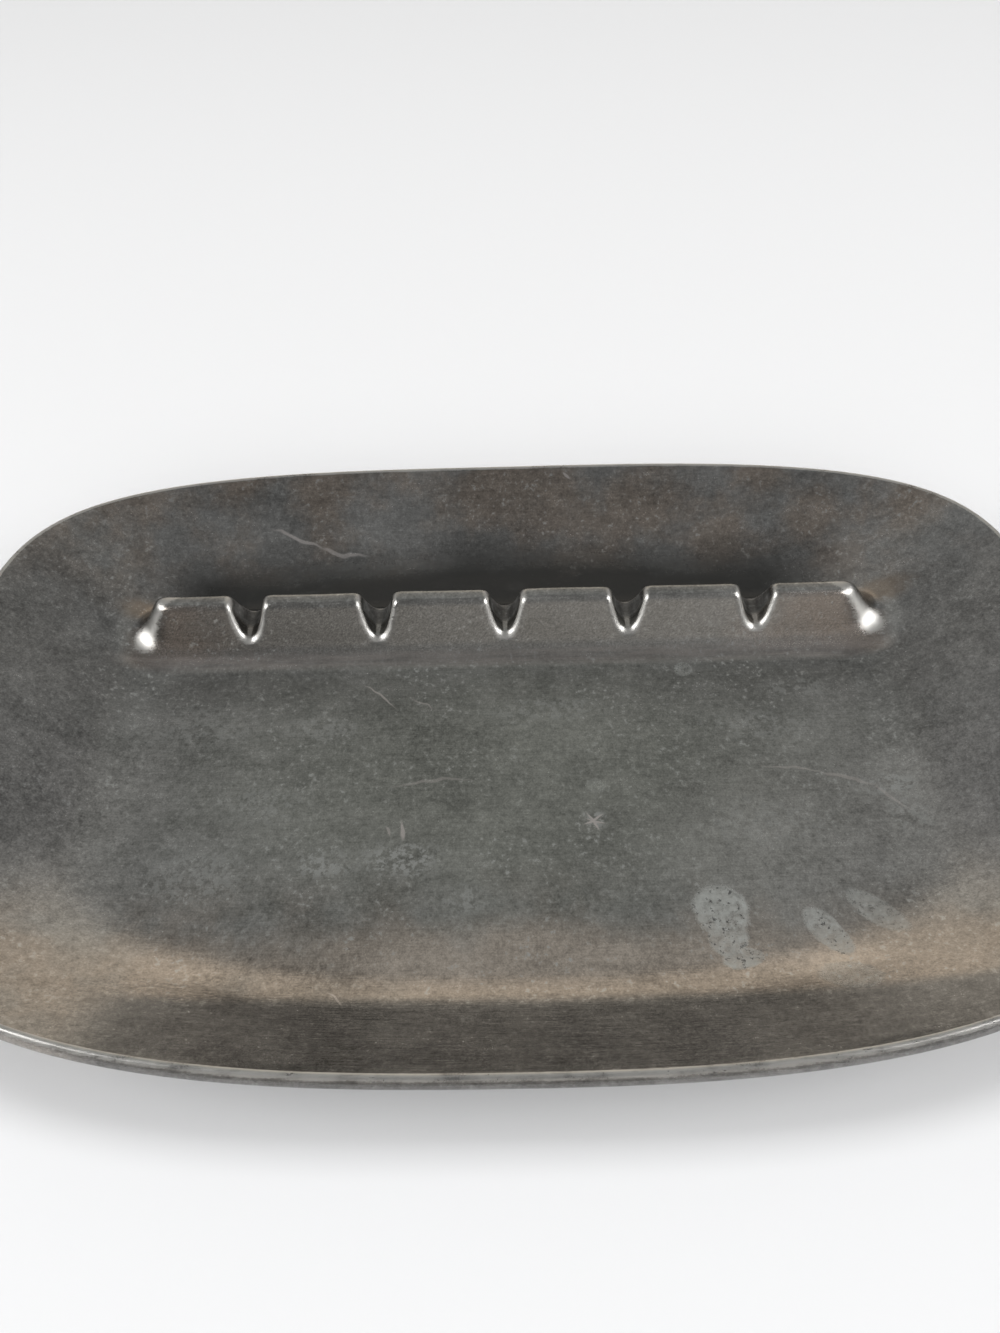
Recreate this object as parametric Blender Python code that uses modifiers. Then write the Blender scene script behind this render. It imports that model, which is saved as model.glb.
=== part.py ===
# A cast metal ashtray dish: one shallow bowed-rectangle casting whose rest ridge, with five
# rounded notches, is part of the same metal, on four small felt pads.
# Metres, +Z up. The pads stand on z = 0, the long side lies along X and the ridge towards +Y.

import math

import bmesh
import bpy
from mathutils import Matrix, Vector

# Plan of the rim, measured at its outer lower edge: |x/a|^END_POWER + |y/b|^SIDE_POWER = 1
RIM_HALF_LENGTH = 0.128
RIM_HALF_WIDTH = 0.085
END_POWER = 2.64
SIDE_POWER = 4.78

# Heights above the table
PAD_HEIGHT = 0.0017
FIT_GAP = 0.0003
RIM_HEIGHT = 0.0245
RIM_LIFT = 0.0040  # the rim rises this much at the ends and dips as much at mid-side

# The casting's plate
WALL = 0.003
EDGE_ROUND = 0.0008
FLOOR_SHARE = 0.685  # the flat floor reaches this share of the way to the rim
BEND_SHARE = 0.34  # share of the wall's run in which it bends up out of the floor
WALL_STEEPENING = 1.22  # slope at the rim over the slope where the bend ends
RIM_LEAN = math.radians(38)  # the wall's mean lean at the rim, to which the edge is square

# The ridge: its top land, how steep its sides are and the blend at its foot
RIDGE_HEIGHT = 0.013  # above the floor
RIDGE_TOP_HALF_LENGTH = 0.0866
RIDGE_FRONT = 0.0340
RIDGE_BACK = 0.0380
FRONT_SLOPE = math.radians(60)
BACK_SLOPE = math.radians(74)
END_SLOPE = math.radians(51)
FOOT_BLEND = 0.004
RIDGE_CORNER = 0.0012
RIDGE_ROOT = 0.0015  # how deep the ridge's blank runs into the plate
FOOT_STEP = 0.0003  # the blend's thin edge

# The notches
NOTCH_COUNT = 5
NOTCH_PITCH = 0.0322
NOTCH_HALF_WIDTH = 0.0046
NOTCH_DEPTH = 0.0082
LIP_ROUND = 0.0007

# The pads
PAD_RADIUS = 0.007
PAD_X = 0.060
PAD_Y = 0.033

# Mesh fineness
AROUND = 120
WALL_RINGS = 9
FLOOR_RINGS = 3
NOTCH_SIDES = 32
SIDE_STEPS = 14
CORNER_STEPS = 3

UNDERSIDE = PAD_HEIGHT + FIT_GAP
FLOOR = UNDERSIDE + WALL
RIDGE_TOP = FLOOR + RIDGE_HEIGHT
EDGE_INSET = WALL * math.sin(RIM_LEAN)
EDGE_HALF_LENGTH = RIM_HALF_LENGTH - EDGE_INSET
EDGE_HALF_WIDTH = RIM_HALF_WIDTH - EDGE_INSET


def power(value, exponent):
    return math.copysign(abs(value) ** exponent, value)


def edge_outline(count):
    """Points evenly spaced along the rim's inner edge in plan, from +X and anticlockwise."""
    dense = []
    steps = count * 40
    for step in range(steps + 1):
        turn = 2 * math.pi * step / steps
        x = EDGE_HALF_LENGTH * power(math.cos(turn), 2 / END_POWER)
        y = EDGE_HALF_WIDTH * power(math.sin(turn), 2 / SIDE_POWER)
        dense.append(Vector((x, y)))
    lengths = [0.0]
    for before, after in zip(dense, dense[1:]):
        lengths.append(lengths[-1] + (after - before).length)
    points = []
    place = 0
    for index in range(count):
        wanted = lengths[-1] * index / count
        while lengths[place + 1] < wanted:
            place += 1
        share = (wanted - lengths[place]) / (lengths[place + 1] - lengths[place])
        points.append(dense[place].lerp(dense[place + 1], share))
    return points


def wall_climb(run):
    """Share of the rim's height that the wall has climbed after a share of its run."""
    steepening = (WALL_STEEPENING - 1) / 2
    slope = 1 / (1 - BEND_SHARE / 2 + steepening * (1 - BEND_SHARE))
    if run < BEND_SHARE:
        return slope * run**2 / (2 * BEND_SHARE)
    beyond = run - BEND_SHARE
    return slope * (BEND_SHARE / 2 + beyond + steepening * beyond**2 / (1 - BEND_SHARE))


def surface_height(x, y):
    """Height of the dish's upper surface: level out to the edge of the floor, then a bend, and
    then a nearly straight wall that steepens a little towards the rim."""
    if x == 0 and y == 0:
        return FLOOR
    share = 0.0
    step = 1.0
    while step > 1e-7:
        share += step
        across = abs(x / (share * EDGE_HALF_LENGTH)) ** END_POWER
        if across + abs(y / (share * EDGE_HALF_WIDTH)) ** SIDE_POWER < 1:
            share -= step
            step /= 2
    run = max(0.0, (share - FLOOR_SHARE) / (1 - FLOOR_SHARE))
    bow = (x / share / EDGE_HALF_LENGTH) ** 2 - (y / share / EDGE_HALF_WIDTH) ** 2
    return FLOOR + (RIM_HEIGHT + RIM_LIFT * bow - FLOOR) * wall_climb(run)


def flank(height, slope):
    """How far a side of the ridge stands out from its top edge at this height above the floor.
    The foot is an arc that runs into both the side and the floor."""
    foot = RIDGE_HEIGHT / math.tan(slope)
    if height >= FOOT_BLEND * (1 - math.cos(slope)):
        return foot - height / math.tan(slope)
    arc = math.sqrt(FOOT_BLEND**2 - (FOOT_BLEND - height) ** 2)
    return foot + FOOT_BLEND * math.tan(slope / 2) - arc


def ridge_section(height):
    """One closed loop round the ridge: from its front right corner anticlockwise, with a rounded
    corner at each end of both long sides and evenly spaced points between."""
    reach = RIDGE_TOP_HALF_LENGTH + flank(height, END_SLOPE)
    front = RIDGE_FRONT - flank(height, FRONT_SLOPE)
    back = RIDGE_BACK + flank(height, BACK_SLOPE)
    straight = reach - RIDGE_CORNER
    along = [straight - 2 * straight * step / (SIDE_STEPS + 1) for step in range(1, SIDE_STEPS + 1)]
    points = []
    for turns in (3, 4, 5, 6):
        x = straight if turns < 5 else -straight
        y = front + RIDGE_CORNER if turns in (3, 6) else back - RIDGE_CORNER
        for step in range(CORNER_STEPS + 1):
            turn = math.pi / 2 * (turns + step / CORNER_STEPS)
            points.append((x + RIDGE_CORNER * math.cos(turn), y + RIDGE_CORNER * math.sin(turn)))
        if turns == 4:
            points += [(x, back) for x in along]
    points += [(-x, front) for x in along]
    return points


def finish(name, colour, roughness, metallic):
    material = bpy.data.materials.new(name)
    material.use_nodes = True
    shader = material.node_tree.nodes["Principled BSDF"]
    shader.inputs["Base Color"].default_value = (*colour, 1)
    shader.inputs["Roughness"].default_value = roughness
    shader.inputs["Metallic"].default_value = metallic
    return material


def object_from(bm, name, collection):
    mesh = bpy.data.meshes.new(name)
    bm.to_mesh(mesh)
    bm.free()
    made = bpy.data.objects.new(name, mesh)
    collection.objects.link(made)
    return made


def helper(made):
    made.hide_render = True
    made.display_type = "WIRE"
    return made


def dish_surface():
    """The dish's upper surface: a turned disc of rings, squared off to the rim's plan and raised."""
    outline = edge_outline(AROUND)
    shares = [FLOOR_SHARE * ring / FLOOR_RINGS for ring in range(FLOOR_RINGS + 1)]
    shares += [
        FLOOR_SHARE + (1 - FLOOR_SHARE) * ring / WALL_RINGS for ring in range(1, WALL_RINGS + 1)
    ]
    bm = bmesh.new()
    spoke = [bm.verts.new((share, 0, 0)) for share in shares]
    edges = [bm.edges.new(pair) for pair in zip(spoke, spoke[1:])]
    bmesh.ops.spin(
        bm,
        geom=spoke + edges,
        cent=(0, 0, 0),
        axis=(0, 0, 1),
        angle=2 * math.pi,
        steps=AROUND,
        use_merge=True,
    )
    for vert in bm.verts:
        share = vert.co.length
        turn = math.atan2(vert.co.y, vert.co.x) % (2 * math.pi)
        rim = outline[round(turn / (2 * math.pi) * AROUND) % AROUND]
        x = rim.x * share
        y = rim.y * share
        vert.co = (x, y, surface_height(x, y))
    bmesh.ops.remove_doubles(bm, verts=bm.verts, dist=1e-6)
    bmesh.ops.recalc_face_normals(bm, faces=bm.faces)
    if sum(face.normal.z for face in bm.faces) < 0:
        bmesh.ops.reverse_faces(bm, faces=bm.faces)
    return bm


def ridge_blank():
    """The ridge as a loft of loops, from inside the plate up to its level top land. Its foot
    climbs with the dish's wall at both ends."""
    heights = [FOOT_STEP]
    heights += [FOOT_BLEND * share for share in (0.15, 0.38, 0.68)]
    heights += [RIDGE_HEIGHT * 0.55, RIDGE_HEIGHT]
    levels = [(FOOT_STEP, -RIDGE_ROOT)]
    levels += [(height, height) for height in heights]
    bm = bmesh.new()
    loops = []
    for height, lift in levels:
        verts = []
        for x, y in ridge_section(height):
            climb = (surface_height(x, y) - FLOOR) * (1 - height / RIDGE_HEIGHT)
            verts.append(bm.verts.new((x, y, FLOOR + lift + climb)))
        edges = [bm.edges.new(pair) for pair in zip(verts, verts[1:] + verts[:1])]
        loops.append((verts, edges))
    for (_, lower), (_, upper) in zip(loops, loops[1:]):
        bmesh.ops.bridge_loops(bm, edges=lower + upper)
    bm.faces.new(loops[-1][0])
    # The underside follows the plate, so its long sides are bridged and its two ends capped.
    verts, edges = loops[0]
    corner = CORNER_STEPS + 1
    left = 2 * corner + SIDE_STEPS
    back_side = edges[2 * corner - 1 : left]
    front_side = edges[left + 2 * corner - 1 :]
    bmesh.ops.bridge_loops(bm, edges=back_side + front_side)
    bm.faces.new(verts[: 2 * corner])
    bm.faces.new(verts[left : left + 2 * corner])
    bmesh.ops.recalc_face_normals(bm, faces=bm.faces)
    return bm


def notch_cutter(x):
    """A lying elliptical bar, one flat of it downwards, level with the ridge's top land."""
    length = 2 * (RIDGE_BACK - RIDGE_FRONT) + 2 * RIDGE_HEIGHT
    middle = (RIDGE_FRONT + RIDGE_BACK) / 2
    shape = (
        Matrix.Translation((x, middle, RIDGE_TOP))
        @ Matrix.Diagonal((NOTCH_HALF_WIDTH, 1, NOTCH_DEPTH, 1))
        @ Matrix.Rotation(math.pi / 2, 4, "X")
        @ Matrix.Rotation(math.pi / NOTCH_SIDES, 4, "Z")
    )
    bm = bmesh.new()
    bmesh.ops.create_cone(
        bm,
        cap_ends=True,
        segments=NOTCH_SIDES,
        radius1=1,
        radius2=1,
        depth=length,
        matrix=shape,
    )
    bmesh.ops.recalc_face_normals(bm, faces=bm.faces)
    return bm


def felt_pad():
    bm = bmesh.new()
    bmesh.ops.create_cone(
        bm,
        cap_ends=True,
        segments=40,
        radius1=PAD_RADIUS,
        radius2=PAD_RADIUS,
        depth=PAD_HEIGHT,
        matrix=Matrix.Translation((0, 0, PAD_HEIGHT / 2)),
    )
    return bm


def main():
    for old in list(bpy.data.objects):
        bpy.data.objects.remove(old, do_unlink=True)
    parts = bpy.data.collections.new("ashtray_dish")
    cutters = bpy.data.collections.new("ridge_tools")
    notches = bpy.data.collections.new("notch_cutters")
    bpy.context.scene.collection.children.link(parts)
    bpy.context.scene.collection.children.link(cutters)
    cutters.children.link(notches)

    metal = finish("aged_cast_metal", (0.30, 0.30, 0.29), 0.42, 1.0)
    felt = finish("dark_felt", (0.05, 0.07, 0.05), 0.95, 0.0)

    for index in range(NOTCH_COUNT):
        x = (index - (NOTCH_COUNT - 1) / 2) * NOTCH_PITCH
        helper(object_from(notch_cutter(x), f"notch_cutter_{index + 1}", notches))

    ridge = helper(object_from(ridge_blank(), "rest_ridge_blank", cutters))
    cut = ridge.modifiers.new("notches", "BOOLEAN")
    cut.operation = "DIFFERENCE"
    cut.operand_type = "COLLECTION"
    cut.collection = notches
    lips = ridge.modifiers.new("lips", "BEVEL")
    lips.width = LIP_ROUND
    lips.segments = 2
    lips.limit_method = "ANGLE"
    lips.angle_limit = math.radians(38)

    dish = object_from(dish_surface(), "dish_casting", parts)
    dish.data.materials.append(metal)
    plate = dish.modifiers.new("plate", "SOLIDIFY")
    plate.thickness = WALL
    plate.offset = -1
    plate.use_even_offset = True
    edge = dish.modifiers.new("rim_edge", "BEVEL")
    edge.width = EDGE_ROUND
    edge.segments = 2
    edge.limit_method = "ANGLE"
    edge.angle_limit = math.radians(50)
    join = dish.modifiers.new("ridge", "BOOLEAN")
    join.operation = "UNION"
    join.object = ridge
    dish.data.shade_smooth()
    dish.data.set_sharp_from_angle(angle=math.radians(40))

    for side, y in (("front", -PAD_Y), ("back", PAD_Y)):
        for hand, x in (("left", -PAD_X), ("right", PAD_X)):
            pad = object_from(felt_pad(), f"felt_pad_{side}_{hand}", parts)
            pad.location = (x, y, 0)
            pad.data.materials.append(felt)
            pad.data.shade_smooth()
            pad.data.set_sharp_from_angle(angle=math.radians(40))


main()
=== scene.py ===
import math

import bmesh
import bpy
import numpy as np
from mathutils import Matrix, Quaternion, Vector, noise


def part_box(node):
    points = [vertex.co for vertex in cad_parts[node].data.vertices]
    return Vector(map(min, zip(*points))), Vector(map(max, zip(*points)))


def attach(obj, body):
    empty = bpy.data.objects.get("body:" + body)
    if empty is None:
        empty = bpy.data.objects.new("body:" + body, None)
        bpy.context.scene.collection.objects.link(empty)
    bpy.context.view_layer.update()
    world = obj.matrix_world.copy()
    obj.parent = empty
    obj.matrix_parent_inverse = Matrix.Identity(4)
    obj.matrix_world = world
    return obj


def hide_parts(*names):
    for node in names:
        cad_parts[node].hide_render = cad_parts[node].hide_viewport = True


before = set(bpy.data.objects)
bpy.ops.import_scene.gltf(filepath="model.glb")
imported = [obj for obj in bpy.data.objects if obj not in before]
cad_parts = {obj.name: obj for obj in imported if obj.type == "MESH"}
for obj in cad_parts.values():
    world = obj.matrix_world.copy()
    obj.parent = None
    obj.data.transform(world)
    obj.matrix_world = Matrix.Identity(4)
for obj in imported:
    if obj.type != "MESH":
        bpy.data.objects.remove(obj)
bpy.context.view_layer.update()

scene = bpy.context.scene
print("frame loaded:", ", ".join(sorted(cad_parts)))


class Wire:
    # wraps an output socket, so that shader maths reads as plain sums
    def __init__(self, socket):
        self.socket = socket

    def node(self, kind, settings, values, output=0):
        # settings are the node's own choices and are set first, values go to its sockets
        made = self.socket.id_data.nodes.new("ShaderNode" + kind)
        for name, choice in settings.items():
            if name == "stops":
                setStops(made.color_ramp, choice)
            else:
                setattr(made, name, choice)
        for name, value in values.items():
            if isinstance(value, Wire):
                made.id_data.links.new(value.socket, made.inputs[name])
            else:
                made.inputs[name].default_value = value
        return Wire(made.outputs[output])

    def math(self, operation, first, second=0.0):
        return self.node("Math", {"operation": operation}, {0: first, 1: second})

    def __add__(self, other):
        return self.math("ADD", self, other)

    def __sub__(self, other):
        return self.math("SUBTRACT", self, other)

    def __rsub__(self, other):
        return self.math("SUBTRACT", other, self)

    def __mul__(self, other):
        return self.math("MULTIPLY", self, other)

    __radd__ = __add__
    __rmul__ = __mul__

    def size(self):
        return self.math("ABSOLUTE", self)

    def orMore(self, other):
        return self.math("MAXIMUM", self, other)

    def clamp(self):
        return self.node("Clamp", {}, {"Value": self})

    def band(self, low, high, start=0.0, end=1.0):
        # a smooth step from start to end while the value goes from low to high
        values = {"Value": self, "From Min": low, "From Max": high, "To Min": start, "To Max": end}
        return self.node("MapRange", {"interpolation_type": "SMOOTHSTEP"}, values)

    def within(self, rise, fall):
        # 1 between two soft edges, each given as a stretch that it fades across
        return self.band(*rise) * self.band(*fall)

    def tint(self, cold, warm):
        # colour mix with this value as its factor
        return self.node("Mix", {"data_type": "RGBA"}, {0: self, 6: cold, 7: warm}, output=2)

    def blend(self, cold, warm):
        # the same for plain numbers
        return self.node("Mix", {}, {0: self, 2: cold, 3: warm})

    def scaled(self, amount):
        # a colour or a vector times a number
        return self.node("VectorMath", {"operation": "SCALE"}, {0: self, "Scale": amount})


def setStops(ramp, stops):
    while len(ramp.elements) > 1:
        ramp.elements.remove(ramp.elements[-1])
    ramp.elements[0].position, ramp.elements[0].color = stops[0]
    for position, colour in stops[1:]:
        ramp.elements.new(position).color = colour


def newMaterial(name):
    # gives the material, its shader node and its Object coordinates in millimetres
    material = bpy.data.materials.new(name)
    material.use_nodes = True
    shader = material.node_tree.nodes["Principled BSDF"]
    place = Wire(material.node_tree.nodes.new("ShaderNodeTexCoord").outputs["Object"])
    return material, shader, place.scaled(1000.0)


def plug(shader, **sockets):
    for name, value in sockets.items():
        target = shader.inputs[name.replace("_", " ")]
        if isinstance(value, Wire):
            shader.id_data.links.new(value.socket, target)
        else:
            target.default_value = value


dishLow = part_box("dish_casting")[0]
dish = {
    "halfLength": 0.12615,  # of the rim's inner edge
    "halfWidth": 0.08315,
    "wall": 0.003,
    "edgeRound": 0.0008,
    "endPower": 2.64,  # plan of the rim: |x/a|^endPower + |y/b|^sidePower = 1
    "sidePower": 4.78,
    "rimHeight": 0.0245,
    "rimLift": 0.0040,  # up at the ends, down at mid-side
    "floorShare": 0.67,
    "bendShare": 0.37,  # share of the wall's run in which it bends up out of the floor
    "steepening": 0.11,
    "waveHeight": 0.00008,  # hand-finished unevenness
    "waveLength": 0.028,
    "innerHalfLength": 0.104,  # the squared middle of the mesh
    "innerFront": -0.048,
    "innerBack": 0.054,
    "acrossStep": 0.0012,
    "alongStep": 0.0026,
    "fineStep": 0.00035,  # round the notches, the ridge's ends and along its sides
    "fineLip": 0.0075,
    "fineEnds": (0.082, 0.102),
    "fineSides": (0.022, 0.045),
    "bandLoops": 18,
    "underLoops": 9,
    "underStart": 0.985,
    "underShares": (0.45, 0.25, 0.1),  # loops across the flat underside
    "topWear": 0.7,  # how polished the rim's top and its edge are
    "edgeWear": 0.3,
}
dish["floor"] = dishLow.z + dish["wall"]

ridge = {
    "height": 0.013,
    "topHalfLength": 0.0880,
    "front": 0.0340,
    "back": 0.0380,
    "frontSlope": math.radians(60),
    "backSlope": math.radians(74),
    "leftSlope": math.radians(54),
    "rightSlope": math.radians(47),
    "footBlend": 0.0042,
    "endFootBlend": 0.0015,  # added towards the ends
    "endFootStart": 0.080,
    "endFootRun": 0.014,
    "reachAcross": 0.112,  # beyond this the metal is plain dish
    "reachFront": 0.014,
    "reachBack": 0.056,
    "edgeBlend": 0.0014,
    "creaseBlend": 0.0034,
    "creaseFlare": 0.5,  # the end creases widen towards the foot
    "backFlare": 0.7,
    "notchPitch": 0.0322,
    "notchDrift": (-0.0006, 0.0001, 0.0003, -0.0008, -0.0006),  # filed by hand
    "notchDeeper": (0.0, 0.0003, 0.0, -0.0002, -0.0004),
    "notchHalfWidth": 0.0041,
    "notchDepth": 0.0082,
    "notchPower": 2.25,
    "lipBlend": 0.0019,
    "topWave": 0.00025,
}
ridge["top"] = dish["floor"] + ridge["height"]
notches = [
    ((index - 2) * ridge["notchPitch"] + drift, ridge["notchDepth"] + deeper)
    for index, (drift, deeper) in enumerate(zip(ridge["notchDrift"], ridge["notchDeeper"]))
]


def rimShare(x, y):
    # how far out a point lies: 0 at the middle of the dish, 1 on the rim's inner edge
    low = np.zeros_like(x)
    high = np.full_like(x, 1.5)
    for _ in range(36):
        middle = (low + high) / 2
        across = (np.abs(x) / (middle * dish["halfLength"])) ** dish["endPower"]
        inside = across + (np.abs(y) / (middle * dish["halfWidth"])) ** dish["sidePower"] < 1
        high = np.where(inside, middle, high)
        low = np.where(inside, low, middle)
    return high


def bowlHeight(x, y):
    # a level floor, a bend, then a nearly straight wall that steepens a little to the rim
    share = np.maximum(rimShare(x, y), 1e-6)
    run = np.clip((share - dish["floorShare"]) / (1 - dish["floorShare"]), 0, None)
    bend = dish["bendShare"]
    slope = 1 / (1 - bend / 2 + dish["steepening"] * (1 - bend))
    beyond = run - bend
    straight = bend / 2 + beyond + dish["steepening"] * beyond**2 / (1 - bend)
    climb = slope * np.where(run < bend, run**2 / (2 * bend), straight)
    bow = (x / share / dish["halfLength"]) ** 2 - (y / share / dish["halfWidth"]) ** 2
    return dish["floor"] + (dish["rimHeight"] + dish["rimLift"] * bow - dish["floor"]) * climb


def bowlNormal(x, y):
    step = 0.0001
    slopeX = (bowlHeight(x + step, y) - bowlHeight(x - step, y)) / (2 * step)
    slopeY = (bowlHeight(x, y + step) - bowlHeight(x, y - step)) / (2 * step)
    normal = np.stack([-slopeX, -slopeY, np.ones_like(x)], axis=1)
    return normal / np.linalg.norm(normal, axis=1, keepdims=True)


def softMin(a, b, blend):
    return np.minimum(a, b) - np.maximum(blend - np.abs(a - b), 0) ** 2 / (4 * blend)


def softMax(a, b, blend):
    return -softMin(-a, -b, blend)


def overRidge(x, y, z):
    # distance outside the ridge, and how much each place is a worn edge that also takes painted
    # highlight
    wave = [noise.noise(Vector((place * 55, 3.1, 0.4))) for place in x]
    top = ridge["top"] + ridge["topWave"] * np.array(wave)
    below = np.clip(top - z, 0, None)
    wearAndSheen = np.zeros_like(x)

    def side(slope, outward):
        return (z - top) * np.cos(slope) + outward * np.sin(slope)

    def meet(first, second, blend, wearSheen):
        nearness = np.clip(1 - np.abs(first - second) / blend, 0, None)
        np.maximum(wearAndSheen, wearSheen * nearness, out=wearAndSheen)
        return softMax(first, second, blend)

    front = side(ridge["frontSlope"], ridge["front"] - y)
    back = side(ridge["backSlope"], y - ridge["back"])
    endSlope = np.where(x < 0, ridge["leftSlope"], ridge["rightSlope"])
    ends = side(endSlope, np.abs(x) - ridge["topHalfLength"])
    level = z - top
    hip = meet(ends, front, ridge["creaseBlend"] + ridge["creaseFlare"] * below, 1.0)
    hip = meet(hip, back, ridge["edgeBlend"] + ridge["backFlare"] * below, 0.2)
    distance = meet(hip, level, ridge["edgeBlend"], 0.45)
    for middle, depth in notches:
        reach = np.abs(x - middle) / ridge["notchHalfWidth"]
        curve = top - depth + depth * reach ** ridge["notchPower"]
        steep = depth / ridge["notchHalfWidth"] * ridge["notchPower"]
        steep = steep * reach ** (ridge["notchPower"] - 1)
        notch = (z - curve) / np.sqrt(1 + steep**2)
        distance = meet(distance, notch, ridge["lipBlend"], 1.0)
    return distance, wearAndSheen


def metalSurface(x, y):
    # the casting's upper surface over each point, found by halving, and its wear with painted highlight
    bowl = bowlHeight(x, y)
    lean = bowlNormal(x, y)[:, 2]
    wearAndSheen = np.zeros_like(x)
    height = bowl.copy()
    near = (np.abs(x) < ridge["reachAcross"]) & (y > ridge["reachFront"]) & (y < ridge["reachBack"])
    x, y, bowl, lean = x[near], y[near], bowl[near], lean[near]
    toEnd = np.clip((np.abs(x) - ridge["endFootStart"]) / ridge["endFootRun"], 0, 1)
    blend = ridge["footBlend"] + ridge["endFootBlend"] * toEnd
    low = bowl - 0.001
    high = np.maximum(bowl, ridge["top"]) + 0.002
    for _ in range(30):
        middle = (low + high) / 2
        outside = softMin((middle - bowl) * lean, overRidge(x, y, middle)[0], blend) > 0
        high = np.where(outside, middle, high)
        low = np.where(outside, low, middle)
    height[near] = high
    onRidge = np.clip((high - bowl) / 0.002, 0, 1)
    wearAndSheen[near] = overRidge(x, y, high)[1] * onRidge
    return height, wearAndSheen


def stations(start, end, step, fine=(), fineStep=None):
    # evenly stepped places from start to end, closer together within the fine stretches
    places = [start]
    while places[-1] < end - 1e-6:
        here = places[-1]
        inFine = any(low - 1e-6 <= here < high - 1e-6 for low, high in fine)
        stops = [edge for stretch in fine for edge in stretch if edge > here + 1e-6] + [end]
        places.append(min([here + (fineStep if inFine else step)] + stops))
    return places


def growLoop(bm, loop, places):
    # extrudes a closed loop of vertices and puts the new loop where it belongs
    edges = [bm.edges.get(pair) for pair in zip(loop, loop[1:] + loop[:1])]
    made = bmesh.ops.extrude_edge_only(bm, edges=edges)["geom"]
    fresh = {piece for piece in made if isinstance(piece, bmesh.types.BMVert)}
    grown = []
    for vert, place in zip(loop, places):
        partner = next(
            edge.other_vert(vert) for edge in vert.link_edges if edge.other_vert(vert) in fresh
        )
        partner.co = place
        grown.append(partner)
    return grown


def pieceFrom(bm, name, node, material, sharp=40):
    mesh = bpy.data.meshes.new(name)
    bm.to_mesh(mesh)
    bm.free()
    mesh.shade_smooth()
    mesh.set_sharp_from_angle(angle=math.radians(sharp))
    mesh.materials.append(material)
    piece = bpy.data.objects.new(name, mesh)
    scene.collection.objects.link(piece)
    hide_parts(node)
    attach(piece, "root")
    return piece


def growMiddle(bm):
    # the squared middle of the dish as a grid, closer where the ridge has its lips and ends
    reach = dish["innerHalfLength"]
    inward, outward = dish["fineEnds"]
    fine = [(middle - dish["fineLip"], middle + dish["fineLip"]) for middle, depth in notches]
    fine += [(-outward, -inward), (inward, outward)]
    across = stations(-reach, reach, dish["acrossStep"], sorted(fine), dish["fineStep"])
    fine = [dish["fineSides"]]
    along = stations(dish["innerFront"], dish["innerBack"], dish["alongStep"], fine, dish["fineStep"])
    bmesh.ops.create_grid(bm, x_segments=len(across) - 1, y_segments=len(along) - 1, size=1)
    for vert in bm.verts:
        vert.co.x = across[round((vert.co.x + 1) / 2 * (len(across) - 1))]
        vert.co.y = along[round((vert.co.y + 1) / 2 * (len(along) - 1))]
    print("dish: middle", len(across), "x", len(along))


def borderOf(bm):
    # the border's vertices in order, anticlockwise from above
    border = next(edge for edge in bm.edges if edge.is_boundary)
    loop = list(border.verts)
    while True:
        nearby = [edge.other_vert(loop[-1]) for edge in loop[-1].link_edges if edge.is_boundary]
        following = next(vert for vert in nearby if vert is not loop[-2])
        if following is loop[0]:
            break
        loop.append(following)
    if sum(a.co.x * b.co.y - b.co.x * a.co.y for a, b in zip(loop, loop[1:] + loop[:1])) < 0:
        loop.reverse()
    return loop


def edgeSection():
    # half round over the plate's edge: how far out, how far up, and how worn each row is
    radius = dish["edgeRound"]
    depth = dish["wall"]
    section = [(-radius, 0.0)]
    for angle in (math.radians(turn) for turn in (30, 60, 90)):
        section.append((radius * (math.sin(angle) - 1), radius * (math.cos(angle) - 1)))
    section.append((0.0, -depth / 2))
    for angle in (math.radians(turn) for turn in (0, 30, 60, 90)):
        section.append((radius * (math.cos(angle) - 1), radius * (1 - math.sin(angle)) - depth))
    return [(out, up, dish["topWear"] if up > -depth / 3 else dish["edgeWear"]) for out, up in section]


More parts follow.
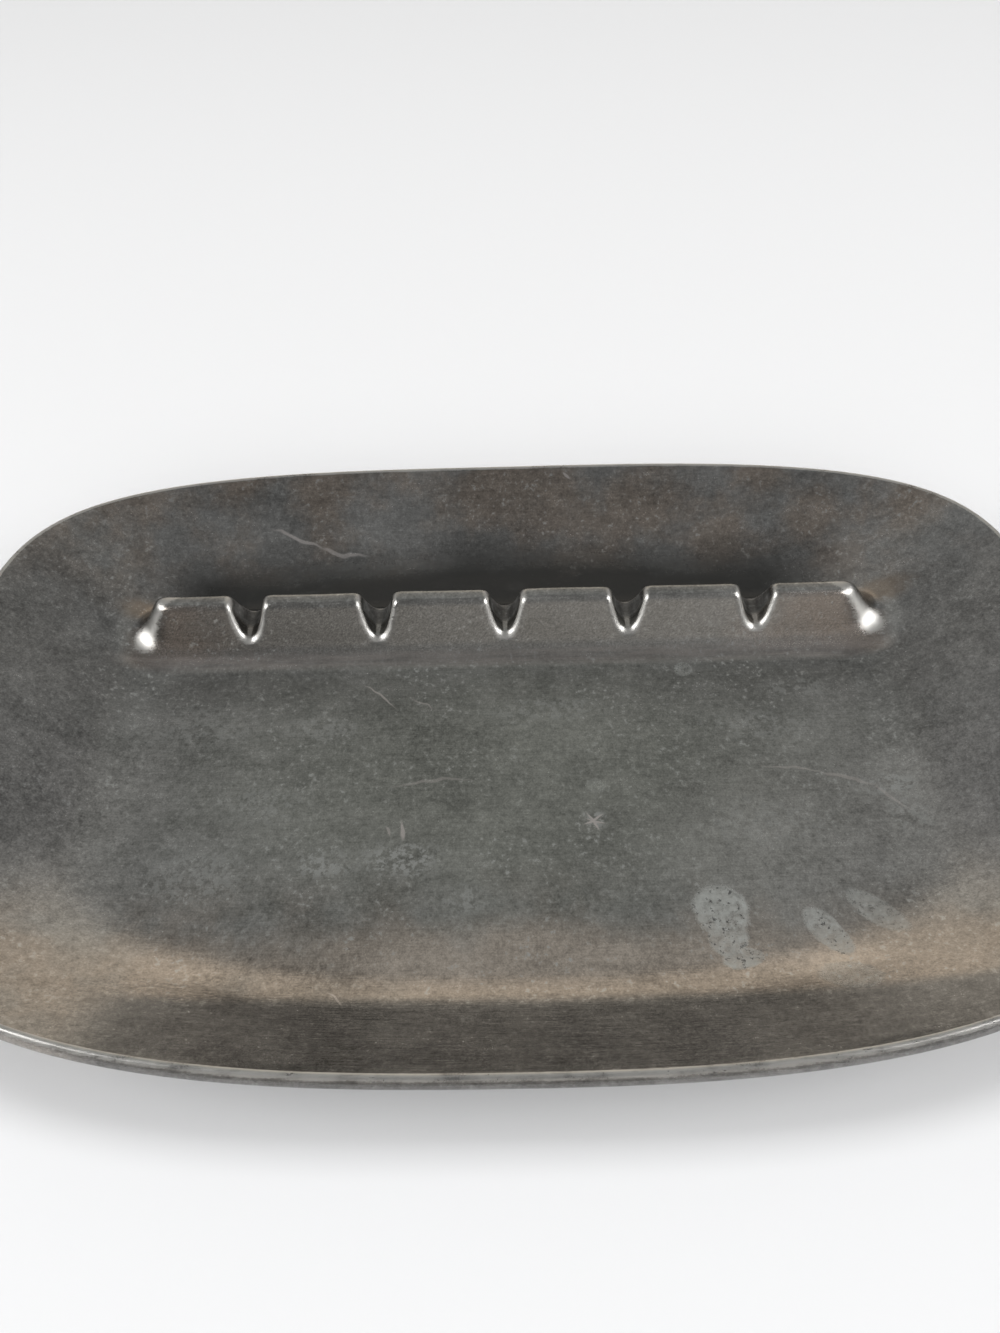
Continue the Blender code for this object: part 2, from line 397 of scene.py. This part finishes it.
def buildDish(material):
    bm = bmesh.new()
    wearSheen = bm.verts.layers.float.new("edgeWear")
    growMiddle(bm)
    loop = borderOf(bm)

    # bands out to the rim, then the whole upper surface is raised to its height
    plan = np.array([vert.co.xy for vert in loop])
    startShare = rimShare(plan[:, 0], plan[:, 1])
    rim = plan / startShare[:, None]
    edgeShare = 1 - 1.2 * dish["edgeRound"] / np.linalg.norm(rim, axis=1)
    for step in range(1, dish["bandLoops"] + 1):
        share = startShare + (edgeShare - startShare) * step / dish["bandLoops"]
        loop = growLoop(bm, loop, [(x, y, 0) for x, y in rim * share[:, None]])
    upper = list(bm.verts)
    x = np.array([vert.co.x for vert in upper])
    y = np.array([vert.co.y for vert in upper])
    for vert, height, wearAndSheen in zip(upper, *metalSurface(x, y)):
        vert.co.z = height + dish["waveHeight"] * noise.noise(vert.co / dish["waveLength"])
        vert[wearSheen] = wearAndSheen

    # round the edge, whose face is square to the plate
    top = np.column_stack([rim, bowlHeight(rim[:, 0], rim[:, 1])])
    normal = bowlNormal(rim[:, 0] * 0.9999, rim[:, 1] * 0.9999)
    around = np.roll(top, -1, axis=0) - np.roll(top, 1, axis=0)
    outward = np.cross(around / np.linalg.norm(around, axis=1, keepdims=True), normal)
    for out, up, wearAndSheen in edgeSection():
        loop = growLoop(bm, loop, top + outward * out + normal * up)
        for vert in loop:
            vert[wearSheen] = wearAndSheen

    # back under the wall and across the flat underside
    underStart, underEnd = dish["underStart"], dish["floorShare"] - 0.02
    for step in range(1, dish["underLoops"] + 1):
        share = underStart + (underEnd - underStart) * step / dish["underLoops"]
        places = rim * share
        lean = bowlNormal(places[:, 0], places[:, 1])
        above = np.column_stack([places, bowlHeight(places[:, 0], places[:, 1])])
        loop = growLoop(bm, loop, above - lean * dish["wall"])
    for share in dish["underShares"]:
        loop = growLoop(bm, loop, [(x, y, dishLow.z) for x, y in rim * share])
    bm.faces.new(loop)
    bmesh.ops.recalc_face_normals(bm, faces=bm.faces)
    piece = pieceFrom(bm, "cast_dish", "dish_casting", material, sharp=60)
    print("dish:", len(piece.data.polygons), "faces")


metal = {  # the dish's finish
    "plain": (0.275, 0.275, 0.268, 1.0),
    "green": (0.262, 0.268, 0.247, 1.0),
    "brown": (0.325, 0.275, 0.232, 1.0),
    # painted warm reflection along the front bend, paler in its middle band
    "warmReflection": (0.36, 0.32, 0.28, 1.0),
    "paleWarmReflection": (0.45, 0.40, 0.35, 1.0),
    "hazed": (0.42, 0.41, 0.395, 1.0),
    # painted dark reflection of the ridge on the front wall
    "clean": (0.185, 0.18, 0.174, 1.0),
    # polished edges, also a painted highlight
    "wearAndSheen": (0.56, 0.55, 0.525, 1.0),
    "oxide": (0.35, 0.365, 0.35, 1.0),
    "bloom": (0.50, 0.51, 0.50, 1.0),
    # near-black colour for the darker places around the ridge
    "darkening": (0.022, 0.022, 0.021, 1.0),
    "sanded": (0.34, 0.33, 0.31, 1.0),
    "sandedBrown": (0.34, 0.29, 0.25, 1.0),
    "footSheen": (0.54, 0.49, 0.455, 1.0),
    "burn": (0.33, 0.25, 0.18, 1.0),
    "scratched": (0.60, 0.56, 0.54, 1.0),
    "pit": (0.06, 0.06, 0.06, 1.0),
    "rimPit": (0.05, 0.05, 0.05, 1.0),
    "roughness": 0.2,
    "oxideRoughness": 0.48,
    "wornRoughness": 0.36,
    "bump": 0.16,
    "bumpDepth": 0.0003,
    # broad spots: middle x and y, half length, half width
    "greenSpot": (3, -12, 70, 34),
    "hazeSpot": (67, -30, 27, 19),
    # how strongly some layers lie on the metal
    "reflectionShare": 0.92,
    "hazeShare": 0.4,
    "shadeShare": 0.2,
    "burnShare": 0.5,
    "bloomShare": 0.72,
    # where the layers lie, in millimetres: the stretches that their soft edges fade across
    "reflectionWall": (-62.5, -67.0),
    "reflectionAcross": ((-84, -70), (106, 94)),
    "warmReflectionStart": (-43, -54),
    "paleReflectionDepth": ((-44, -53), (-62, -57)),
    "hazedEnds": (72, 98),
    "hazedDepth": ((8, -14), (-56, -40)),
    "ridgeFace": ((22.5, 25.5), (35.0, 33.8)),
    "ridgeFoot": ((22.0, 24.5), (28.0, 26.0)),
    "ridgeShade": ((2, 17), (26, 23)),
    "troughDepth": ((40, 43), (80, 56)),
    "troughAcross": ((-108, -78), (106, 68)),
    "notchDepth": ((33.0, 35.0), (44, 40)),
    # blotches left by drops: middle x and y, half length, half width, turn, strength
    "blotches": [
        (44.4, -45.3, 5.9, 6.1, 0, 1.0),
        (44.9, -51.0, 4.2, 4.6, 0, 0.9),
        (47.3, -56.0, 4.4, 2.4, 8, 0.9),
        (65.6, -50.6, 6.6, 3.1, -58, 0.85),
        (76.9, -46.6, 6.9, 3.0, -44, 0.6),
        (66.5, -61.5, 6.0, 3.6, -10, 0.4),
        (44.9, 20.6, 2.4, 2.2, 0, 0.45),
        (20.5, -13.8, 2.3, 2.0, 0, 0.25),
    ],
    # clusters of pale crystals: middle x and y, half length, half width, strength
    "clusters": [
        (-23.6, -31.9, 8.5, 4.2, 1.0),
        (-40.5, -32.4, 6.0, 3.2, 0.9),
        (-68.0, -34.5, 11.0, 6.5, 0.55),
        (-55.5, -17.5, 9.0, 4.5, 0.5),
        (-75.0, 6.0, 16.0, 6.0, 0.4),
        (-44.5, 4.5, 9.0, 3.5, 0.5),
        (19.6, -22.8, 2.6, 2.2, 1.0),
        (10.5, 8.5, 13.0, 3.2, 0.45),
        (-9.5, -41.5, 5.0, 3.0, 0.6),
        (86.5, -15.0, 6.0, 2.8, 0.9),
        (62.0, 2.5, 15.0, 4.0, 0.45),
        (57.5, -24.5, 16.0, 6.0, 0.35),
        (90.0, -23.0, 5.0, 6.0, 0.5),
        (71.5, 13.5, 8.0, 3.0, 0.5),
    ],
    # brown burns behind the ridge's ends: middle x and y, half length, half width
    "burns": [(98, 41, 5.5, 3.5), (-95, 41, 5, 3)],
    # scratches: ends, half width, strength
    "scratches": [
        (-63.0, 67.5, -50.0, 63.5, 0.45, 0.8),
        (-50.0, 63.5, -38.5, 62.0, 0.55, 0.8),
        (-34.4, 17.0, -27.0, 10.8, 0.22, 0.6),
        (-22.0, 12.5, -18.5, 9.5, 0.18, 0.4),
        (18.0, 81.5, 19.4, 79.8, 0.35, 1.0),
        (-36.0, -62.5, -33.0, -65.5, 0.25, 0.5),
        (-26.0, -12.6, -9.5, -11.4, 0.4, 0.35),
        (-24.0, -22.0, -23.2, -27.0, 0.5, 0.8),
        (-27.6, -23.4, -26.6, -25.6, 0.35, 0.55),
        (17.4, -23.6, 21.6, -21.4, 0.28, 0.9),
        (18.4, -20.8, 20.6, -24.9, 0.28, 0.9),
        (17.8, -22.0, 22.0, -23.7, 0.22, 0.8),
        (60.0, -9.0, 73.0, -11.0, 0.3, 0.4),
        (73.0, -11.0, 84.0, -15.0, 0.4, 0.45),
        (84.0, -15.0, 89.0, -21.0, 0.4, 0.4),
    ],
}


def cloud(place, scale, detail=3.0, roughness=0.55, offset=0.0):
    # soft noise, whose offset picks a different pattern
    values = {"Vector": place, "W": offset, "Scale": scale, "Detail": detail, "Roughness": roughness}
    return place.node("TexNoise", {"noise_dimensions": "4D"}, values)


def streaks(place, turn, length, width, offset):
    # noise drawn out along X and then turned about the upright axis
    values = {"Vector": place, "Rotation": turn, "Scale": (length, width, width)}
    drawn = place.node("Mapping", {"vector_type": "TEXTURE"}, values)
    return cloud(drawn, 1.0, 4, 0.65, offset)


def spot(place, ragged, x, y, halfLength, halfWidth, turn=0, soft=0.15):
    # 1 inside a ragged ellipse that runs through the whole height
    turn = (0, 0, math.radians(turn))
    size = (halfLength, halfWidth, 10000)
    values = {"Vector": place, "Location": (x, y, 0), "Rotation": turn, "Scale": size}
    inner = place.node("Mapping", {"vector_type": "TEXTURE"}, values)
    reach = inner.node("VectorMath", {"operation": "LENGTH"}, {0: inner}, output=1)
    return (reach + ragged).band(1 + soft, 1 - soft)


def stroke(place, ragged, startX, startY, endX, endY, halfWidth):
    # 1 along a straight scratch, as a very thin spot with its own ragged edge
    length = math.hypot(endX - startX, endY - startY) / 2
    turn = math.degrees(math.atan2(endY - startY, endX - startX))
    middleX, middleY = (startX + endX) / 2, (startY + endY) / 2
    return spot(place, ragged, middleX, middleY, length, halfWidth, turn, 0.4)


def largest(masks):
    total = masks[0]
    for mask in masks[1:]:
        total = total.orMore(mask)
    return total


class Grounds:
    # the coordinates and noises that the layers of the metal's finish share
    def __init__(self, place):
        self.place = place
        self.x, self.y, self.z = [
            place.node("SeparateXYZ", {}, {0: place}, output=axis) for axis in range(3)
        ]
        self.outby = self.x.size()
        self.wearAndSheen = place.node("Attribute", {"attribute_name": "edgeWear"}, {}, output=2)
        self.broad = cloud(place, 0.03, 4, 0.6, 2.0)
        self.patina = cloud(place, 0.045, 5, 0.6, 21.0)
        drawn = place.node("VectorMath", {"operation": "MULTIPLY"}, {0: place, 1: (0.6, 1, 1)})
        self.mottle = cloud(drawn, 0.2, 7, 0.7, 7.0)
        self.fleck = cloud(place, 0.85, 4, 0.62, 11.0)
        self.grain = cloud(place, 2.4, 2, 0.6, 13.0)
        self.brush = streaks(place, (0, 0, 0), 12, 0.55, 3.0)
        self.hair = streaks(place, (0, 0, 0), 6, 0.2, 5.0)
        self.ragged = (self.mottle - 0.5) * 1.1 + (self.fleck - 0.5) * 0.5
        self.wobble = (self.fleck - 0.5) * 2.2 + (self.mottle - 0.5) * 1.5
        # painted dark reflection of the ridge, high on the front wall
        depth = (self.y + self.wobble * 0.5).band(*metal["reflectionWall"])
        self.clean = depth * self.x.within(*metal["reflectionAcross"])


def tarnishAndPaintedReflections(base):
    # grey-green metal, browner to the front and back, with a painted warm reflection along the front
    # bend
    centre = spot(base.place, base.ragged, *metal["greenSpot"], soft=0.7)
    colour = centre.tint(metal["plain"], metal["green"])
    rimward = (base.y.size() * 0.017).band(0.5, 1.1, 0.0, 0.8)
    brown = base.patina.band(0.4, 0.62) * rimward * (1 - base.clean)
    colour = brown.tint(colour, metal["brown"])
    # painted warm reflection along the front bend
    warmReflection = (base.y + base.wobble * 1.5 + base.outby * 0.04).band(*metal["warmReflectionStart"]) * (1 - base.clean)
    warmReflection = warmReflection * base.outby.band(70, 110, 1.0, 0.45) * base.patina.band(0.3, 0.55, 0.5, 0.95)
    colour = warmReflection.tint(colour, metal["warmReflection"])
    # a paler band of painted warm reflection within it
    start, end = metal["paleReflectionDepth"]
    paleWarmReflection = (base.y + base.wobble + base.outby * 0.08).band(*start)
    paleWarmReflection = paleWarmReflection * (base.y + base.wobble * 0.5).band(*end)
    paleWarmReflection = paleWarmReflection * base.outby.band(86, 60) * base.patina.band(0.3, 0.5, 0.3, 0.85)
    colour = paleWarmReflection.tint(colour, metal["paleWarmReflection"])

    # dull haze on the ends of the floor and in its right front corner
    start, end = metal["hazedDepth"]
    ends = (base.y + base.wobble).band(*start) * base.y.band(*end)
    ends = ends * base.outby.band(*metal["hazedEnds"])
    colour = (ends * metal["hazeShare"]).tint(colour, metal["hazed"])
    haze = spot(base.place, base.ragged * 2, *metal["hazeSpot"], soft=0.8)
    colour = (haze * metal["hazeShare"]).tint(colour, metal["hazed"])
    # painted dark reflection of the ridge on the front wall
    colour = (base.clean * metal["reflectionShare"]).tint(colour, metal["clean"])

    # cloudy, brushed lengthwise and grainy
    tone = (base.broad - 0.5) * 1.0 + (base.mottle - 0.5) * 1.15 + (base.fleck - 0.5) * 1.15
    tone = tone + (base.brush - 0.5) * 0.45 + (base.hair - 0.5) * 0.45 + (base.grain - 0.5) * 1.0 + 1.02
    return colour.scaled(tone)


def ridgeFinish(base, colour):
    # the ridge's front is sanded aslant, browner at its ends and paler at its foot
    face = base.y.within(*metal["ridgeFace"]) * base.z.band(5.2, 7.0) * base.outby.band(99, 93)
    sanding = streaks(base.place, (0, math.radians(-42), 0), 7, 0.2, 31.0)
    ends = (base.outby - 70 + (base.broad - 0.5) * 90).band(-14, 12)
    colour = (face * 0.5 * (1 - ends)).tint(colour, metal["sanded"])
    colour = (face * 0.7 * ends).tint(colour, metal["sandedBrown"])
    paler = (sanding - 0.5) * 2.4 + base.x.band(-70, 70, -0.28, 0.2)
    colour = colour.scaled(face * paler + 1.0)
    foot = base.y.within(*metal["ridgeFoot"]) * base.outby.band(104, 88)
    footStreak = (streaks(base.place, (0, 0, 0), 18, 1.4, 41.0) - 0.5) * 2.0 + 0.62
    colour = (foot * footStreak.clamp() * 0.65).tint(colour, metal["footSheen"])
    return colour, face * sanding


def shadeDarkeningAndBurns(base, colour):
    # painted shade before the ridge, and darker colour in the trough behind it and inside the notches
    start, end = metal["ridgeShade"]
    # painted shade on the floor just before the ridge, tinted near black
    shade = (base.y + base.wobble * 2).band(*start) * base.y.band(*end) * base.outby.band(112, 96)
    colour = (shade * metal["shadeShare"]).tint(colour, metal["darkening"])
    start, end = metal["troughDepth"]
    trough = base.y.band(*start) * (base.y + (base.broad - 0.5) * 9 + base.outby * 0.08).band(*end)
    trough = trough * base.x.within(*metal["troughAcross"])
    # darker colour in the trough behind the ridge
    darkening = trough * base.mottle.band(0.2, 0.5, 0.88, 0.99)
    colour = darkening.tint(colour, metal["darkening"])
    # darker colour inside the notches
    inNotch = base.y.within(*metal["notchDepth"]) * base.z.band(17.2, 14.0) * base.outby.band(74, 70)
    colour = (inNotch * base.mottle.band(0.3, 0.7, 0.4, 0.1)).tint(colour, metal["darkening"])
    burns = [spot(base.place, base.ragged, *burn, soft=0.6) for burn in metal["burns"]]
    colour = (largest(burns) * metal["burnShare"]).tint(colour, metal["burn"])
    return colour, darkening, inNotch


def bloomFinish(base, colour, darkening):
    # pale bloom in fine dots, gathered into clusters
    crystals = cloud(base.place, 0.6, 5, 0.7, 91.0).band(0.47, 0.56)
    dots = [base.fleck.band(0.57, 0.68) * base.patina.band(0.44, 0.58, 0.3, 1.0)]
    for x, y, halfLength, halfWidth, strength in metal["clusters"]:
        cluster = spot(base.place, base.ragged * 1.6, x, y, halfLength, halfWidth, soft=0.5)
        dots.append(cluster * strength * crystals)
    dots.append(base.grain.band(0.66, 0.76) * base.mottle.band(0.42, 0.6, 0.3, 1.0))
    bloom = largest(dots) * (1 - darkening) * (1 - base.clean * 0.7)
    return (bloom * metal["bloomShare"]).tint(colour, metal["bloom"])


def oxideFinish(base, colour):
    # blotches of oxide, pitted dark
    blotches = []
    for x, y, halfLength, halfWidth, turn, strength in metal["blotches"]:
        blotch = spot(base.place, base.ragged * 0.8, x, y, halfLength, halfWidth, turn, 0.1)
        blotches.append(blotch * strength)
    oxide = largest(blotches)
    pits = cloud(base.place, 0.95, 4, 0.7, 51.0).band(0.57, 0.63) * oxide.band(0.3, 0.8)
    oxide = oxide * base.fleck.band(0.3, 0.58, 0.45, 0.95) * base.mottle.band(0.3, 0.6, 1.0, 0.7)
    colour = oxide.tint(colour, metal["oxide"])
    return (pits * 0.8).tint(colour, metal["pit"]), oxide, pits


def scratchFinish(base, colour, darkening):
    # the deep scratches, and fine stray hairlines in three directions
    values = {"Vector": base.place, "Scale": 0.12, "Detail": 2.0}
    drift = base.place.node("TexNoise", {}, values, output=1)
    drift = drift.node("VectorMath", {"operation": "SUBTRACT"}, {0: drift, 1: (0.5, 0.5, 0.5)})
    bent = base.place.node("VectorMath", {}, {0: base.place, 1: drift.scaled(4.0)})
    lines = []
    for startX, startY, endX, endY, halfWidth, strength in metal["scratches"]:
        line = stroke(bent, base.ragged * 0.4, startX, startY, endX, endY, halfWidth)
        lines.append(line * strength)
    for turn, offset in ((35, 61.0), (-58, 67.0), (8, 71.0)):
        hairline = streaks(bent, (0, 0, math.radians(turn)), 9, 0.13, offset)
        lines.append(hairline.band(0.67, 0.74) * 0.5)
    scratch = largest(lines) * (1 - darkening)
    return scratch.tint(colour, metal["scratched"]), scratch


def wearSheenAndPits(base, colour):
    # stray dark pits, thicker along the front and back rim, and edges polished by use, made brighter
    # still as painted highlight on the ridge's creases and notch lips
    rim = base.wearAndSheen.band(0.25, 0.35) * (base.y.size() * 0.0135).band(1.0, 1.05)
    specks = cloud(base.place, 1.3, 3, 0.6, 81.0).band(0.70, 0.74)
    gouged = streaks(base.place, (0, 0, 0), 2.6, 0.7, 95.0).band(0.6, 0.68) * base.broad.band(0.45, 0.6)
    pitted = (specks * 0.6).orMore(rim * gouged * 0.85)
    colour = pitted.tint(colour, metal["rimPit"])
    uneven = 1 + (base.mottle - 0.5) * 1.6 + (base.brush - 0.5) * 0.8
    # polish by use, with painted highlight on the ridge's end creases and notch lips
    polishAndSheen = (base.wearAndSheen * uneven).band(0.3, 0.8) * (1 - pitted)
    return polishAndSheen.tint(colour, metal["wearAndSheen"]), pitted, polishAndSheen


def dishMetal():
    material, shader, place = newMaterial("aged_cast_metal")
    base = Grounds(place)
    colour = tarnishAndPaintedReflections(base)
    colour, sanding = ridgeFinish(base, colour)
    colour, darkening, inNotch = shadeDarkeningAndBurns(base, colour)
    colour = bloomFinish(base, colour, darkening)
    colour, oxide, pits = oxideFinish(base, colour)
    colour, scratch = scratchFinish(base, colour, darkening)
    colour, pitted, polishAndSheen = wearSheenAndPits(base, colour)

    roughness = (base.grain - 0.5) * 0.2 + (base.mottle - 0.5) * 0.25 + (base.brush - 0.5) * 0.15
    roughness = inNotch * 0.45 + roughness + metal["roughness"]
    roughness = oxide.blend(roughness, metal["oxideRoughness"])
    roughness = polishAndSheen.blend(roughness, metal["wornRoughness"])
    metallic = 1 - oxide * 0.35 - darkening * 0.4
    height = base.brush * 0.5 + base.hair * 0.35 + base.grain * 0.25 + base.fleck * 0.3 + sanding * 0.2
    height = height - scratch * 0.4 - pitted * 0.8 - pits * 0.8
    values = {"Strength": metal["bump"], "Distance": metal["bumpDepth"], "Height": height}
    bump = place.node("Bump", {}, values)
    plug(shader, Base_Color=colour, Roughness=roughness.clamp(), Metallic=metallic, Normal=bump)
    return material


pad = {
    "edgeRound": 0.0004,
    "sides": 64,
    "fuzz": 0.00006,  # unevenness of its cut side
    "dark": (0.02, 0.03, 0.022, 1.0),
    "light": (0.075, 0.1, 0.075, 1.0),
}


def padFelt():
    material, shader, place = newMaterial("dark_pressed_felt")
    fibres = cloud(place, 3.0, 5, 0.75)
    tufts = cloud(place, 0.7, 3)
    colour = (fibres * 0.7 + tufts * 0.3).band(0.3, 0.7).tint(pad["dark"], pad["light"])
    bump = place.node("Bump", {}, {"Strength": 0.6, "Distance": 0.0002, "Height": fibres})
    plug(shader, Base_Color=colour, Roughness=0.95, Normal=bump, Sheen_Weight=0.4, Sheen_Roughness=0.5)
    return material


def buildPad(node, material):
    low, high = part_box(node)
    radius = (high.x - low.x) / 2
    middle = (low + high) / 2
    bm = bmesh.new()
    bmesh.ops.create_cone(
        bm,
        cap_ends=True,
        segments=pad["sides"],
        radius1=radius,
        radius2=radius,
        depth=high.z - low.z,
        matrix=Matrix.Translation(middle),
    )
    rims = [edge for edge in bm.edges if abs(edge.verts[0].co.z - edge.verts[1].co.z) < 1e-7]
    bmesh.ops.bevel(
        bm, geom=rims, offset=pad["edgeRound"], affect="EDGES", segments=3, profile=0.5, material=-1
    )
    for vert in bm.verts:
        outward = Vector((vert.co.x - middle.x, vert.co.y - middle.y, 0))
        if outward.length > radius * 0.9:
            fuzz = noise.noise(vert.co * 900) - 1
            vert.co += outward.normalized() * pad["fuzz"] * fuzz
    bmesh.ops.recalc_face_normals(bm, faces=bm.faces)
    return pieceFrom(bm, node.replace("felt_pad", "pad"), node, material)


studio = {
    "floorSize": 8.0,
    "floorColour": (0.612, 0.615, 0.622, 1.0),
    # lamps: name, place, width, height, power, whether the metal mirrors it
    "lamps": [
        ("key", (0, 0.93, 2.85), 1.3, 1.0, 41, False),
        ("fill", (0, -2.3, 1.5), 2.4, 1.6, 40, False),
        ("left_box", (-1.01, -0.27, 0.8), 0.8, 0.56, 7.8, True),
        ("right_box", (1.01, -0.27, 0.8), 0.8, 0.56, 7.8, True),
    ],
    # brightness of the room by height above the horizon, behind, beside and before the dish
    "roomBack": [
        (0.00, (0.82, 0.76, 0.67, 1)),
        (0.30, (0.86, 0.79, 0.69, 1)),
        (0.55, (0.74, 0.69, 0.62, 1)),
        (0.70, (0.43, 0.425, 0.41, 1)),
        (0.78, (0.42, 0.42, 0.41, 1)),
        (0.88, (0.49, 0.49, 0.475, 1)),
        (0.94, (0.46, 0.46, 0.45, 1)),
        (1.00, (0.29, 0.29, 0.29, 1)),
    ],
    "roomSide": [
        (0.00, (0.50, 0.49, 0.48, 1)),
        (0.50, (0.32, 0.32, 0.32, 1)),
        (1.00, (0.26, 0.26, 0.26, 1)),
    ],
    "roomFront": [
        (0.00, (0.55, 0.53, 0.50, 1)),
        (0.30, (0.50, 0.48, 0.46, 1)),
        (0.60, (0.36, 0.36, 0.36, 1)),
        (1.00, (0.27, 0.27, 0.27, 1)),
    ],
}


def buildFloor():
    bm = bmesh.new()
    bmesh.ops.create_grid(bm, x_segments=2, y_segments=2, size=studio["floorSize"] / 2)
    mesh = bpy.data.meshes.new("table_top")
    bm.to_mesh(mesh)
    bm.free()
    floor = bpy.data.objects.new("table_top", mesh)
    scene.collection.objects.link(floor)
    material, shader = newMaterial("white_paper")[:2]
    plug(shader, Base_Color=studio["floorColour"], Roughness=0.8)
    mesh.materials.append(material)


def softLight(name, place, width, height, power, mirrored):
    light = bpy.data.lights.new(name, "AREA")
    light.shape = "RECTANGLE"
    light.size = width
    light.size_y = height
    light.energy = power
    lamp = bpy.data.objects.new(name, light)
    lamp.location = place
    lamp.rotation_euler = (-Vector(place)).to_track_quat("-Z", "Y").to_euler()
    lamp.visible_glossy = mirrored
    scene.collection.objects.link(lamp)


def buildLights():
    world = bpy.data.worlds.new("studio_air")
    world.use_nodes = True
    air = world.node_tree.nodes["Background"]
    toward = Wire(world.node_tree.nodes.new("ShaderNodeTexCoord").outputs["Generated"])
    across = toward.node("SeparateXYZ", {}, {0: toward}, output=0)
    depth = toward.node("SeparateXYZ", {}, {0: toward}, output=1)
    rise = toward.node("SeparateXYZ", {}, {0: toward}, output=2)
    back, side, front = [
        rise.node("ValToRGB", {"stops": studio[room]}, {0: rise})
        for room in ("roomBack", "roomSide", "roomFront")
    ]
    glow = depth.band(-0.25, 0.2).tint(front, back)
    glow = across.size().band(0.25, 0.6).tint(glow, side)
    world.node_tree.links.new(glow.socket, air.inputs["Color"])
    scene.world = world
    for lamp in studio["lamps"]:
        softLight(*lamp)


camera = {
    "focus": (-0.0009, 0.0068, 0.024),
    "elevation": math.radians(50),
    "swing": math.radians(1.19),
    "roll": math.radians(-2.23),
    "distance": 0.2289,
    "lens": 27.0,
}


def buildCamera():
    rise = camera["elevation"]
    away = Vector(
        (
            math.sin(camera["swing"]) * math.cos(rise),
            -math.cos(camera["swing"]) * math.cos(rise),
            math.sin(rise),
        )
    )
    view = bpy.data.cameras.new("camera")
    view.lens = camera["lens"]
    view.clip_start = 0.01
    rig = bpy.data.objects.new("camera", view)
    rig.location = Vector(camera["focus"]) + away * camera["distance"]
    aim = (-away).to_track_quat("-Z", "Y")
    rig.rotation_mode = "QUATERNION"
    rig.rotation_quaternion = aim @ Quaternion((0, 0, 1), camera["roll"])
    scene.collection.objects.link(rig)
    scene.camera = rig


scene.view_settings.view_transform = "Standard"
buildCamera()
buildLights()
buildFloor()
print("studio ready")
buildDish(dishMetal())
felt = padFelt()
for name in sorted(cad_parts):
    if name.startswith("felt_pad"):
        buildPad(name, felt)
print("pads ready")
